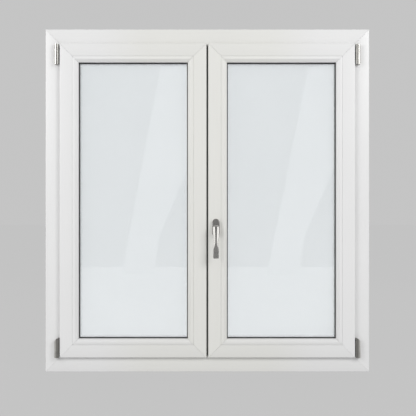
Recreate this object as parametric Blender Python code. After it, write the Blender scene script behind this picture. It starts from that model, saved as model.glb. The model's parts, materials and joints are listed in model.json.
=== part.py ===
"""Two-leaf casement window that opens inwards, with its floating mullion on the left leaf.

Metres, +Z up. The room is on the -Y side and the outdoors on the +Y side.
The origin is the middle of the frame's underside. Leaves are closed and locked.
"""
from math import atan2, cos, hypot, pi, radians, sin, sqrt, tan

import bmesh
import bpy
from mathutils import Vector

# ---------------------------------------------------------------- driving dimensions
WINDOW_WIDTH = 1.300
WINDOW_HEIGHT = 1.375
FRAME_DEPTH = 0.070
FRAME_SIGHT = 0.058         # frame face that shows beside a closed leaf
LIP_OVERLAP = 0.007         # how far a leaf's lip covers the frame's face
REBATE_GAP = 0.010          # air space round a leaf's body, where the hardware runs
STOP_OVERLAP = 0.010        # how far the frame's outer stop covers a leaf's body
STOP_DEPTH = 0.010
STOP_SEAL_SPACE = 0.004     # between the outer stop and a leaf
LIP_SEAL_SPACE = 0.0045     # between a leaf's lip and the frame's face
LEAF_PROUD = 0.016          # how far a leaf stands into the room from the frame
LEAF_FACE = 0.051           # leaf profile's face, up to its glazing bead
MEETING_GAP = 0.0075        # between the two leaves
GLAZING_LIP_DEPTH = 0.009
GLAZING_LIP_SIGHT = 0.021   # outer glazing lip, seen from outside
BEAD_FACE = 0.0235
BEAD_FLAT = 0.011           # flat part of the bead's face, before it slopes to the glass
BEAD_FALL = 0.009           # how far the slope falls
BEAD_RECESS = 0.0006        # bead's face behind the leaf's face
PANE_THICKNESS = 0.004
PANE_SPACING = 0.016
GLASS_EDGE_SPACE = 0.005    # between the glass edge and the leaf's rebate
SPACER_HEIGHT = 0.010
INNER_GASKET_DEPTH = 0.008
OUTER_GASKET_DEPTH = 0.004
GASKET_SIGHT = 0.0042       # gasket that shows beside the bead
SEAL_WIDTH = 0.005
BARREL_DIAMETER = 0.019
BARREL_LEAF_SPACE = 0.002   # between a hinge barrel and the leaf's edge
BARREL_FRAME_SPACE = 0.002  # between a hinge barrel and the frame's face
PIN_DIAMETER = 0.007
UPPER_HINGE_DROP = 0.003    # from the leaf's top edge to the top knuckle
UPPER_KNUCKLES = (0.016, 0.044, 0.020)  # top, middle and bottom knuckle heights
KNUCKLE_SPLIT = 0.0005
LOWER_BLOCK_HEIGHT = 0.021
LOWER_BLOCK_RADIUS = 0.0065 # rounds the block inside the circle that the leaf's lip sweeps
LOWER_COVER_HEIGHT = 0.057
LOWER_COVER_ROUND = 0.021   # height of the round on the cover's outer top corner
LOWER_PIN_HEIGHT = 0.030
WING_THICKNESS = 0.002      # hinge plate that passes between leaf and frame
HEEL_SHARE = 0.8            # how far the wing's heel reaches across the barrel's radius
COVER_ROUND_SHARE = 0.9     # where the cover's round starts, as a share of the barrel's radius
STRAP_THICKNESS = 0.0025
STRAP_WIDTH = 0.018
UPPER_STRAP_LENGTH = 0.260
LOWER_STRAP_LENGTH = 0.120
HARDWARE_SETBACK = 0.022    # from the leaf's lip to the middle of the lock hardware
PLATE_WIDTH = 0.016
PLATE_THICKNESS = 0.002
ROD_WIDTH = 0.010
ROD_THICKNESS = 0.002
ROD_LENGTH = 0.760
LOCK_TRAVEL = 0.018
CAM_SPREAD = 0.300          # each cam above or below the leaf's middle
CAM_PIN_DIAMETER = 0.006
CAM_HEAD_DIAMETER = 0.010
CAM_HEAD_THICKNESS = 0.0025
KEEPER_HEIGHT = 0.046
KEEPER_THICKNESS = 0.0016
KEEPER_HOOK = 0.0025
KEEPER_HOOK_RISE = 0.75     # hook above the locked cam's middle, as a share of its head
KEEPER_HOOK_SPACE = 0.0006  # between the hook and the arc that the active leaf's body swings through
CAM_SPACE = 0.0009          # between a cam and its keeper's plate, which it nears as the leaf swings
HANDLE_HEIGHT = 0.579       # spindle above the frame's underside
HANDLE_BACKSET = 0.01365    # spindle from the active leaf's lock edge
ROSETTE_WIDTH = 0.031
ROSETTE_HEIGHT = 0.071
ROSETTE_THICKNESS = 0.0105
ROSETTE_EDGE = 0.004        # width of the rosette's eased edge
HUB_DIAMETER = 0.024
LEVER_REACH = 0.031         # from the rosette's face to the middle of the grip
LEVER_LENGTH = 0.121        # from the spindle down to the grip's end
LEVER_NECK_WIDTH = 0.020
LEVER_SHANK_WIDTH = 0.0155
LEVER_GRIP_WIDTH = 0.0225
LEVER_THICKNESS = 0.011
LEVER_GRIP_LENGTH = 0.040
HUB_COLLAR = 0.004          # straight hub before the bend
GRIP_SPREAD = 0.010         # over which the shank widens into the grip
GRIP_END_LENGTH = 0.002     # eased end of the grip
GRIP_END_EASE = 0.003
BEND_SQUARENESS = 0.3       # taken off the hub's roundness through the bend
SPINDLE_SIZE = 0.007
SPINDLE_SEAT = 0.014        # spindle's depth in the lever
SPINDLE_HOLE_SHARE = 0.85   # radius of the round holes, as a share of the square spindle's size
FOLLOWER_DIAMETER = 0.014
GEARBOX_WALL = 0.00425      # gearbox beyond its follower
GEARBOX_HEIGHT = 0.110
MULLION_END_SPACE = 0.003   # between the mullion's ends and the frame
MULLION_COVER_END = 0.002   # between the mullion's outer cover and the frame's stop
BOLT_REACH = 0.012          # how far a shot bolt enters the frame
BOLT_LENGTH = 0.230
BOLT_PLATE_LENGTH = 0.250
BOLT_KNOB_DISTANCE = 0.150  # thumb knob from the mullion's end
BOLT_KNOB_HEIGHT = 0.012
BOLT_KNOB_WIDTH = 0.008
BOLT_KNOB_PROUD = 0.004
BOLT_KEEPER_LENGTH = 0.024
DRAIN_SLOT_LENGTH = 0.028
DRAIN_SLOT_HEIGHT = 0.005
DRAIN_SLOT_OFFSET = 0.300   # each drain slot from the window's middle

FRAME_EDGE_RADIUS = 0.0025
LEAF_EDGE_RADIUS = 0.004
BEAD_EDGE_RADIUS = 0.005
FINE_RADIUS = 0.001
ARC_STEPS = 6
FINE_ARC_STEPS = 3
COVER_STEPS = 8
ROSETTE_STEPS = 12
BEND_STEPS = 5
CAM_PIN_STEPS = 16
CAM_HEAD_STEPS = 20

TOUCH_GAP = 0.0003          # between two pieces that touch
SLIDE_GAP = 0.0005          # between a sliding piece and its slot
MITRE_SETBACK = 0.00021     # each mitred end, along its bar
CUT_MARGIN = 0.010          # how far a cutter runs past the piece

# ---------------------------------------------------------------- places that follow
FRAME_ROOM_Y = -FRAME_DEPTH / 2
FRAME_OUT_Y = FRAME_DEPTH / 2
STOP_Y = FRAME_OUT_Y - STOP_DEPTH
LEAF_OUT_Y = STOP_Y - STOP_SEAL_SPACE
LEAF_ROOM_Y = FRAME_ROOM_Y - LEAF_PROUD
LIP_BACK_Y = FRAME_ROOM_Y - LIP_SEAL_SPACE
GLAZING_LIP_Y = LEAF_OUT_Y - GLAZING_LIP_DEPTH
OUTER_PANE_Y = GLAZING_LIP_Y - OUTER_GASKET_DEPTH - PANE_THICKNESS
INNER_PANE_Y = OUTER_PANE_Y - PANE_SPACING - PANE_THICKNESS
BEAD_BACK_Y = INNER_PANE_Y - INNER_GASKET_DEPTH
BEAD_FACE_Y = LEAF_ROOM_Y + BEAD_RECESS

FRAME_FACE = FRAME_SIGHT + LIP_OVERLAP
FRAME_STOP = FRAME_FACE + REBATE_GAP + STOP_OVERLAP
BODY_INSET = LIP_OVERLAP + REBATE_GAP
BEAD_OUTER = LEAF_FACE + TOUCH_GAP
BEAD_INNER = LEAF_FACE + BEAD_FACE
GLASS_INSET = LEAF_FACE + GLASS_EDGE_SPACE

LEAF_OUTER_X = WINDOW_WIDTH / 2 - FRAME_SIGHT
LEAF_MEETING_X = MEETING_GAP / 2
LEAF_BOTTOM = FRAME_SIGHT
LEAF_TOP = WINDOW_HEIGHT - FRAME_SIGHT
LEAF_MIDDLE = (LEAF_BOTTOM + LEAF_TOP) / 2
BODY_TOP = LEAF_TOP - BODY_INSET
BODY_BOTTOM = LEAF_BOTTOM + BODY_INSET
BODY_EDGE_X = LEAF_MEETING_X + BODY_INSET       # active leaf's lock edge
BODY_HINGE_X = LEAF_OUTER_X - BODY_INSET        # either leaf's hinge edge

BARREL_RADIUS = BARREL_DIAMETER / 2
HINGE_X = LEAF_OUTER_X + BARREL_LEAF_SPACE + BARREL_RADIUS
HINGE_Y = FRAME_ROOM_Y - BARREL_FRAME_SPACE - BARREL_RADIUS
UPPER_HINGE_TOP = LEAF_TOP - UPPER_HINGE_DROP

HARDWARE_Y = LIP_BACK_Y + HARDWARE_SETBACK
GROOVE_DEPTH = PLATE_THICKNESS + ROD_THICKNESS + 2 * TOUCH_GAP
GEARBOX_X = BODY_EDGE_X + GROOVE_DEPTH + TOUCH_GAP
HANDLE_OFFSET = BODY_EDGE_X + HANDLE_BACKSET    # spindle from the window's middle
GEARBOX_BACK_X = HANDLE_OFFSET + FOLLOWER_DIAMETER / 2 + GEARBOX_WALL
ROD_X = BODY_EDGE_X + PLATE_THICKNESS + TOUCH_GAP
CAM_HEIGHTS = (LEAF_MIDDLE - CAM_SPREAD, LEAF_MIDDLE + CAM_SPREAD)

MULLION_FACE_X = LEAF_MEETING_X + LIP_OVERLAP   # mullion's edge towards the active leaf
MULLION_COVER_X = BODY_EDGE_X + STOP_OVERLAP    # half width of the mullion's outer cover
MULLION_BOTTOM = FRAME_FACE + MULLION_END_SPACE
MULLION_TOP = WINDOW_HEIGHT - MULLION_BOTTOM
BOLT_X = MULLION_FACE_X - PLATE_THICKNESS - TOUCH_GAP - ROD_THICKNESS
KEEPER_X = MULLION_FACE_X + TOUCH_GAP
CAM_TIP_X = KEEPER_X + KEEPER_THICKNESS + CAM_SPACE

ROSETTE_Y = LEAF_ROOM_Y - TOUCH_GAP - ROSETTE_THICKNESS
HUB_Y = ROSETTE_Y - TOUCH_GAP
GRIP_Y = ROSETTE_Y - LEVER_REACH


# ---------------------------------------------------------------- shape helpers
def outline(*corners):
    """Closed outline from (u, v) or (u, v, radius) corners; a radius becomes an arc."""
    points = []
    for index, corner in enumerate(corners):
        here = Vector(corner[:2])
        if len(corner) == 2:
            points.append(here)
            continue
        radius = corner[2]
        before = (Vector(corners[index - 1][:2]) - here).normalized()
        after = (Vector(corners[(index + 1) % len(corners)][:2]) - here).normalized()
        half = before.angle(after) / 2
        centre = here + (before + after).normalized() * radius / sin(half)
        first = here + before * radius / tan(half) - centre
        last = here + after * radius / tan(half) - centre
        sweep = atan2(first.x * last.y - first.y * last.x, first.dot(last))
        steps = ARC_STEPS if radius > FINE_RADIUS else FINE_ARC_STEPS
        for step in range(steps + 1):
            turn = sweep * step / steps
            points.append(centre + Vector((first.x * cos(turn) - first.y * sin(turn),
                                           first.x * sin(turn) + first.y * cos(turn))))
    return points


def rectangle(u0, u1, v0, v1):
    """Sharp-cornered outline."""
    return outline((u0, v0), (u1, v0), (u1, v1), (u0, v1))


def circle(u, v, radius, steps=24):
    """Round outline."""
    return [Vector((u + radius * cos(2 * pi * k / steps), v + radius * sin(2 * pi * k / steps)))
            for k in range(steps)]


def skin(loops, closed=False):
    """Solid through a row of equal loops, with flat ends or closed on itself."""
    shape = bmesh.new()
    rings = [[shape.verts.new(point) for point in loop] for loop in loops]
    following = rings[1:] + rings[:1] if closed else rings[1:]
    for near, far in zip(rings, following):
        for index in range(len(near)):
            shape.faces.new((near[index - 1], near[index], far[index], far[index - 1]))
    if not closed:
        shape.faces.new(rings[0])
        shape.faces.new(rings[-1])
    bmesh.ops.recalc_face_normals(shape, faces=shape.faces)
    return shape


def along_x(shape_outline, x0, x1):
    """Solid from an outline in (y, z), between two x."""
    return skin([[(x, p.x, p.y) for p in shape_outline] for x in (x0, x1)])


def along_y(shape_outline, y0, y1):
    """Solid from an outline in (x, z), between two y."""
    return skin([[(p.x, y, p.y) for p in shape_outline] for y in (y0, y1)])


def along_z(shape_outline, z0, z1):
    """Solid from an outline in (x, y), between two z."""
    return skin([[(p.x, p.y, z) for p in shape_outline] for z in (z0, z1)])


def block(x0, x1, y0, y1, z0, z1):
    """Plain block."""
    return along_z(rectangle(x0, x1, y0, y1), z0, z1)


def corner_of(opening, corner, inset):
    """Corner of a rectangle (x0, x1, z0, z1), moved in by the inset, as x and z."""
    x0, x1, z0, z1 = opening
    places = ((x0 + inset, z0 + inset), (x1 - inset, z0 + inset),
              (x1 - inset, z1 - inset), (x0 + inset, z1 - inset))
    return Vector(places[corner % 4])


def mitred_bar(section, opening, side):
    """One bar of a rectangle, from an (inset, y) section, with its ends cut at 45 degrees."""
    along = (corner_of(opening, side + 1, 0) - corner_of(opening, side, 0)).normalized()
    loops = []
    for corner, direction in ((side, along), (side + 1, -along)):
        loop = []
        for point in section:
            place = corner_of(opening, corner, point.x) + direction * MITRE_SETBACK
            loop.append((place.x, point.y, place.y))
        loops.append(loop)
    return skin(loops)


def ring(section, opening):
    """Closed rectangular ring from an (inset, y) section."""
    loops = []
    for corner in range(4):
        places = [(corner_of(opening, corner, point.x), point.y) for point in section]
        loops.append([(place.x, y, place.y) for place, y in places])
    return skin(loops, closed=True)


def mesh_from(shape, name):
    """Mesh data of a bmesh."""
    mesh = bpy.data.meshes.new(name)
    shape.to_mesh(mesh)
    shape.free()
    return mesh


def combine(shape, operation, *tools):
    """The shape after a Boolean with each tool in turn."""
    target = bpy.data.objects.new("target", mesh_from(shape, "target"))
    bpy.context.scene.collection.objects.link(target)
    for tool_shape in tools:
        tool = bpy.data.objects.new("tool", mesh_from(tool_shape, "tool"))
        bpy.context.scene.collection.objects.link(tool)
        modifier = target.modifiers.new("cut", "BOOLEAN")
        modifier.operation = operation
        modifier.object = tool
        graph = bpy.context.evaluated_depsgraph_get()
        target.data = bpy.data.meshes.new_from_object(target.evaluated_get(graph))
        target.modifiers.clear()
        bpy.data.objects.remove(tool)
    result = bmesh.new()
    result.from_mesh(target.data)
    bpy.data.objects.remove(target)
    return result


def join(shape, *others):
    """Union of overlapping shapes."""
    return combine(shape, "UNION", *others)


def cut(shape, *tools):
    """Shape with the tools cut away."""
    return combine(shape, "DIFFERENCE", *tools)


def flipped(points, side):
    """Outline drawn for the right side (+1), or mirrored for the left (-1)."""
    return [Vector((point.x * side, point.y)) for point in points]


# ---------------------------------------------------------------- scene helpers
def material(name, colour, roughness, metallic=0.0, transmission=0.0):
    """Principled material."""
    result = bpy.data.materials.new(name)
    result.use_nodes = True
    shader = result.node_tree.nodes["Principled BSDF"]
    shader.inputs["Base Color"].default_value = (*colour, 1.0)
    shader.inputs["Roughness"].default_value = roughness
    shader.inputs["Metallic"].default_value = metallic
    shader.inputs["Transmission Weight"].default_value = transmission
    return result


def pivot(name, location, parent=None):
    """Empty on a joint's axis; the moving pieces hang on it."""
    empty = bpy.data.objects.new(name, None)
    empty.location = Vector(location)
    if parent is not None:
        empty.parent = parent
        empty.location -= world_place(parent)
    bpy.context.scene.collection.objects.link(empty)
    return empty


def world_place(empty):
    """World position of an empty that may hang on another."""
    place = Vector(empty.location)
    while empty.parent is not None:
        empty = empty.parent
        place += empty.location
    return place


def add(name, shape, finish, parent=None):
    """Named piece from a shape drawn in world coordinates."""
    if parent is not None:
        bmesh.ops.translate(shape, verts=shape.verts, vec=-world_place(parent))
    mesh = mesh_from(shape, name)
    mesh.shade_smooth()
    mesh.set_sharp_from_angle(angle=radians(30))
    mesh.materials.append(finish)
    piece = bpy.data.objects.new(name, mesh)
    piece.parent = parent
    bpy.context.scene.collection.objects.link(piece)
    return piece


# ---------------------------------------------------------------- frame
def frame_section():
    """Fixed frame profile as (inset, y): room face, rebate and outer stop."""
    return outline((0, FRAME_ROOM_Y, FINE_RADIUS), (FRAME_FACE, FRAME_ROOM_Y, FRAME_EDGE_RADIUS),
                   (FRAME_FACE, STOP_Y), (FRAME_STOP, STOP_Y, FINE_RADIUS),
                   (FRAME_STOP, FRAME_OUT_Y, FRAME_EDGE_RADIUS), (0, FRAME_OUT_Y, FINE_RADIUS))


def bolt_hole(bolt_edge, direction, gap):
    """Cutter round a shot bolt's end, from a face into the frame."""
    reach = BOLT_REACH + MULLION_END_SPACE
    low, high = sorted((bolt_edge - direction * CUT_MARGIN, bolt_edge + direction * reach))
    return block(BOLT_X - gap, BOLT_X + ROD_THICKNESS + gap,
                 HARDWARE_Y - ROD_WIDTH / 2 - gap, HARDWARE_Y + ROD_WIDTH / 2 + gap, low, high)


def keeper_recess(face, direction, gap):
    """Seat of a bolt keeper in the frame's rebate face; gap 0 gives the keeper plate."""
    middle = BOLT_X + ROD_THICKNESS / 2
    outer = face - direction * CUT_MARGIN if gap else face
    low, high = sorted((outer, face + direction * (PLATE_THICKNESS + gap)))
    half_length = BOLT_KEEPER_LENGTH / 2 + gap
    half_width = PLATE_WIDTH / 2 + gap
    return block(middle - half_length, middle + half_length,
                 HARDWARE_Y - half_width, HARDWARE_Y + half_width, low, high)


def drain_slots():
    """Cutters for the slots through the sill's outer stop, just above the rebate."""
    half = DRAIN_SLOT_LENGTH / 2
    low = FRAME_FACE + FINE_RADIUS
    return [block(middle - half, middle + half, STOP_Y - CUT_MARGIN, FRAME_OUT_Y + CUT_MARGIN,
                  low, low + DRAIN_SLOT_HEIGHT) for middle in (-DRAIN_SLOT_OFFSET, DRAIN_SLOT_OFFSET)]


def build_frame(white, rubber, steel):
    """Four mitred bars, their seal and the keepers for the left leaf's bolts."""
    opening = (-WINDOW_WIDTH / 2, WINDOW_WIDTH / 2, 0, WINDOW_HEIGHT)
    section = frame_section()
    sill_face = FRAME_FACE
    head_face = WINDOW_HEIGHT - FRAME_FACE
    for name, side in (("frame_jamb_right", 1), ("frame_jamb_left", 3)):
        add(name, mitred_bar(section, opening, side), white)
    for name, side, face, direction, keeper in (
            ("frame_sill", 0, sill_face, -1, "bolt_keeper_sill"),
            ("frame_head", 2, head_face, 1, "bolt_keeper_head")):
        bar = cut(mitred_bar(section, opening, side), keeper_recess(face, direction, TOUCH_GAP),
                  bolt_hole(face, direction, 2 * SLIDE_GAP))
        if name == "frame_sill":
            bar = cut(bar, *drain_slots())
        add(name, bar, white)
        plate = cut(keeper_recess(face, direction, 0), bolt_hole(face, direction, SLIDE_GAP))
        add(keeper, plate, steel)
    stop_middle = FRAME_STOP - STOP_OVERLAP / 2
    seal = outline((stop_middle - SEAL_WIDTH / 2, LEAF_OUT_Y + TOUCH_GAP, FINE_RADIUS),
                   (stop_middle + SEAL_WIDTH / 2, LEAF_OUT_Y + TOUCH_GAP, FINE_RADIUS),
                   (stop_middle + SEAL_WIDTH / 2, STOP_Y - TOUCH_GAP),
                   (stop_middle - SEAL_WIDTH / 2, STOP_Y - TOUCH_GAP))
    add("frame_seal", ring(seal, opening), rubber)


# ---------------------------------------------------------------- hinges
def knuckle_ranges():
    """Bottom and top of the upper hinge's knuckles, from the top one down."""
    ranges = []
    top = UPPER_HINGE_TOP
    for height in UPPER_KNUCKLES:
        ranges.append((top - height, top))
        top -= height + KNUCKLE_SPLIT
    return ranges


def cover_range():
    """Bottom and top of the lower hinge's cover."""
    bottom = LEAF_BOTTOM + LOWER_BLOCK_HEIGHT + KNUCKLE_SPLIT
    return bottom, bottom + LOWER_COVER_HEIGHT


def barrel(side, z0, z1, radius=BARREL_RADIUS):
    """Round part on the hinge axis."""
    return along_z(flipped(circle(HINGE_X, HINGE_Y, radius), side), z0, z1)


def frame_heel(side, z0, z1):
    """Web from a frame knuckle back to the frame's face, on the side away from the leaf."""
    web = rectangle(HINGE_X + SLIDE_GAP, HINGE_X + BARREL_RADIUS - SLIDE_GAP,
                    HINGE_Y, FRAME_ROOM_Y - TOUCH_GAP)
    return along_z(flipped(web, side), z0, z1)


def leaf_wing(side, z0, z1):
    """Heel, wing and leg from the leaf's knuckle through the seal space into the rebate."""
    wing_out = FRAME_ROOM_Y - 2 * TOUCH_GAP
    wing_room = wing_out - WING_THICKNESS
    leg_edge = BODY_HINGE_X + TOUCH_GAP
    leg = outline((leg_edge, wing_room), (HINGE_X - BARREL_RADIUS * HEEL_SHARE, wing_room),
                  (HINGE_X - BARREL_RADIUS * HEEL_SHARE, HINGE_Y), (HINGE_X - SLIDE_GAP, HINGE_Y),
                  (HINGE_X - SLIDE_GAP, wing_out), (leg_edge + STRAP_THICKNESS, wing_out),
                  (leg_edge + STRAP_THICKNESS, HARDWARE_Y + STRAP_WIDTH / 2),
                  (leg_edge, HARDWARE_Y + STRAP_WIDTH / 2))
    return along_z(flipped(leg, side), z0, z1)


def strap(side, z0, z1, length):
    """Flat strap along the leaf's top or bottom edge, joined to the wing's leg."""
    outer = BODY_HINGE_X + TOUCH_GAP + STRAP_THICKNESS
    flat = rectangle(outer - length, outer, HARDWARE_Y - STRAP_WIDTH / 2, HARDWARE_Y + STRAP_WIDTH / 2)
    return along_z(flipped(flat, side), z0, z1)


def upper_strap(side):
    """Leaf's part of the upper hinge: knuckle, wing, leg and the strap on the leaf's top edge."""
    low, high = knuckle_ranges()[1]
    strap_low = BODY_TOP + TOUCH_GAP
    strap_high = strap_low + STRAP_THICKNESS
    leg_x = (BODY_HINGE_X + TOUCH_GAP, BODY_HINGE_X + TOUCH_GAP + STRAP_THICKNESS)
    leg = along_z(flipped(rectangle(*leg_x, HARDWARE_Y - STRAP_WIDTH / 2,
                                    HARDWARE_Y + STRAP_WIDTH / 2), side), low, strap_high)
    shape = join(barrel(side, low, high), leaf_wing(side, low, high), leg,
                 strap(side, strap_low, strap_high, UPPER_STRAP_LENGTH))
    bore = barrel(side, low - CUT_MARGIN, high + CUT_MARGIN, PIN_DIAMETER / 2 + TOUCH_GAP)
    return cut(shape, bore)


def lower_strap(side):
    """Leaf's part of the lower hinge: rounded cover, wing, leg and the strap under the leaf."""
    low, high = cover_range()
    strap_high = BODY_BOTTOM - TOUCH_GAP
    strap_low = strap_high - STRAP_THICKNESS
    leg_x = (BODY_HINGE_X + TOUCH_GAP, BODY_HINGE_X + TOUCH_GAP + STRAP_THICKNESS)
    leg = along_z(flipped(rectangle(*leg_x, HARDWARE_Y - STRAP_WIDTH / 2,
                                    HARDWARE_Y + STRAP_WIDTH / 2), side), strap_low, high)
    shape = join(barrel(side, low, high), leaf_wing(side, low, high), leg,
                 strap(side, strap_low, strap_high, LOWER_STRAP_LENGTH))
    inner = HINGE_X - BARREL_RADIUS * COVER_ROUND_SHARE
    span = HINGE_X + BARREL_RADIUS - inner
    quarter = [radians(90) * step / COVER_STEPS for step in range(COVER_STEPS + 1)]
    outside = [Vector((inner + span * sin(turn), high - LOWER_COVER_ROUND * (1 - cos(turn))))
               for turn in quarter]
    outside += [Vector((inner + span + CUT_MARGIN, high - LOWER_COVER_ROUND)),
                Vector((inner + span + CUT_MARGIN, high + CUT_MARGIN)), Vector((inner, high + CUT_MARGIN))]
    round_cutter = along_y(flipped(outside, side), HINGE_Y - BARREL_DIAMETER, HINGE_Y + BARREL_DIAMETER)
    bore = barrel(side, low - CUT_MARGIN, low + LOWER_PIN_HEIGHT + SLIDE_GAP, PIN_DIAMETER / 2 + TOUCH_GAP)
    return cut(shape, round_cutter, bore)


def upper_bearing(side):
    """Frame's part of the upper hinge: two knuckles on one plate."""
    top_knuckle, _, bottom_knuckle = knuckle_ranges()
    plate_out = FRAME_ROOM_Y - TOUCH_GAP
    plate = rectangle(HINGE_X + SLIDE_GAP, HINGE_X + BARREL_RADIUS - SLIDE_GAP,
                      HINGE_Y + BARREL_RADIUS + TOUCH_GAP, plate_out)
    shape = join(barrel(side, *top_knuckle), frame_heel(side, *top_knuckle),
                 along_z(flipped(plate, side), bottom_knuckle[0], top_knuckle[1]),
                 frame_heel(side, *bottom_knuckle), barrel(side, *bottom_knuckle))
    bore = barrel(side, bottom_knuckle[0] - CUT_MARGIN, top_knuckle[1] + CUT_MARGIN,
                  PIN_DIAMETER / 2 + TOUCH_GAP)
    return cut(shape, bore)


def lower_bearing(side):
    """Frame's part of the lower hinge: square block with its standing pin."""
    low = LEAF_BOTTOM
    high = low + LOWER_BLOCK_HEIGHT
    half = BARREL_RADIUS
    square = outline(*[(HINGE_X + right * half, HINGE_Y + out * half, LOWER_BLOCK_RADIUS)
                       for right, out in ((-1, -1), (1, -1), (1, 1), (-1, 1))])
    return join(along_z(flipped(square, side), low, high), frame_heel(side, low, high),
                barrel(side, high - PIN_DIAMETER, high + LOWER_PIN_HEIGHT, PIN_DIAMETER / 2))


def build_frame_hinges(steel):
    """Bearings and pins that stay on the frame."""
    for side, hand in ((-1, "left"), (1, "right")):
        add("upper_bearing_" + hand, upper_bearing(side), steel)
        add("lower_bearing_" + hand, lower_bearing(side), steel)
        pin = barrel(side, UPPER_HINGE_TOP - sum(UPPER_KNUCKLES), UPPER_HINGE_TOP - TOUCH_GAP,
                     PIN_DIAMETER / 2)
        add("upper_pin_" + hand, pin, steel)


# ---------------------------------------------------------------- leaves
def leaf_section():
    """Leaf profile as (inset, y): lip, body and outer glazing lip."""
    return outline((0, LEAF_ROOM_Y, LEAF_EDGE_RADIUS), (0, LIP_BACK_Y, FINE_RADIUS),
                   (BODY_INSET, LIP_BACK_Y), (BODY_INSET, LEAF_OUT_Y, FINE_RADIUS),
                   (LEAF_FACE + GLAZING_LIP_SIGHT, LEAF_OUT_Y, FRAME_EDGE_RADIUS),
                   (LEAF_FACE + GLAZING_LIP_SIGHT, GLAZING_LIP_Y, FINE_RADIUS),
                   (LEAF_FACE, GLAZING_LIP_Y), (LEAF_FACE, LEAF_ROOM_Y, FINE_RADIUS))


def bead_section():
    """Glazing bead as (inset, y), sloping to the glass."""
    return outline((BEAD_OUTER, BEAD_FACE_Y, FINE_RADIUS),
                   (BEAD_OUTER + BEAD_FLAT, BEAD_FACE_Y, BEAD_EDGE_RADIUS),
                   (BEAD_INNER, BEAD_FACE_Y + BEAD_FALL, FINE_RADIUS),
                   (BEAD_INNER, BEAD_BACK_Y - TOUCH_GAP), (BEAD_OUTER, BEAD_BACK_Y - TOUCH_GAP))


def inner_gasket_section():
    """Black gasket between bead and glass."""
    sight = BEAD_INNER + GASKET_SIGHT
    return outline((BEAD_INNER - SEAL_WIDTH, BEAD_BACK_Y), (sight, BEAD_BACK_Y, GASKET_SIGHT / 2),
                   (sight, INNER_PANE_Y - TOUCH_GAP), (BEAD_INNER - SEAL_WIDTH, INNER_PANE_Y - TOUCH_GAP))


def outer_gasket_section():
    """Black gasket between glass and the leaf's outer lip."""
    sight = LEAF_FACE + GLAZING_LIP_SIGHT + GASKET_SIGHT / 2
    pane_out = OUTER_PANE_Y + PANE_THICKNESS + TOUCH_GAP
    return outline((sight - 2 * SEAL_WIDTH, pane_out), (sight, pane_out),
                   (sight, GLAZING_LIP_Y - TOUCH_GAP, FINE_RADIUS),
                   (sight - 2 * SEAL_WIDTH, GLAZING_LIP_Y - TOUCH_GAP))


def lip_seal(side, opening):
    """Seal behind the leaf's lip, thinned where the hinge wings pass."""
    middle = LIP_OVERLAP / 2
    room = LIP_BACK_Y + TOUCH_GAP
    section = outline((middle - SEAL_WIDTH / 2, room), (middle + SEAL_WIDTH / 2, room),
                      (middle + SEAL_WIDTH / 2, FRAME_ROOM_Y - TOUCH_GAP, FINE_RADIUS),
                      (middle - SEAL_WIDTH / 2, FRAME_ROOM_Y - TOUCH_GAP, FINE_RADIUS))
    notch_room = FRAME_ROOM_Y - 3 * TOUCH_GAP - WING_THICKNESS
    notch = rectangle(LEAF_OUTER_X - 2 * LIP_OVERLAP, HINGE_X, notch_room, FRAME_ROOM_Y)
    passes = (knuckle_ranges()[1], cover_range())
    notches = [along_z(flipped(notch, side), low - SLIDE_GAP, high + SLIDE_GAP) for low, high in passes]
    return cut(ring(section, opening), *notches)


def pane(opening, y):
    """Glass pane inside the leaf's rebate."""
    low = corner_of(opening, 0, GLASS_INSET)
    high = corner_of(opening, 2, GLASS_INSET)
    return block(low.x, high.x, y, y + PANE_THICKNESS, low.y, high.y)


def stile_pockets():
    """Cutters in the active leaf's meeting stile: groove, gearbox pocket and spindle hole."""
    half_plate = PLATE_WIDTH / 2 + TOUCH_GAP
    groove = block(BODY_EDGE_X - CUT_MARGIN, BODY_EDGE_X + GROOVE_DEPTH, HARDWARE_Y - half_plate,
                   HARDWARE_Y + half_plate, BODY_BOTTOM + CUT_MARGIN, BODY_TOP - CUT_MARGIN)
    pocket_height = GEARBOX_HEIGHT / 2 + TOUCH_GAP
    pocket = block(BODY_EDGE_X - CUT_MARGIN, GEARBOX_BACK_X + TOUCH_GAP,
                   HARDWARE_Y - half_plate, HARDWARE_Y + half_plate,
                   HANDLE_HEIGHT - pocket_height, HANDLE_HEIGHT + pocket_height)
    hole = along_y(circle(HANDLE_OFFSET, HANDLE_HEIGHT, SPINDLE_SIZE * SPINDLE_HOLE_SHARE),
                   LEAF_ROOM_Y - CUT_MARGIN, HARDWARE_Y)
    return groove, pocket, hole


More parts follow.
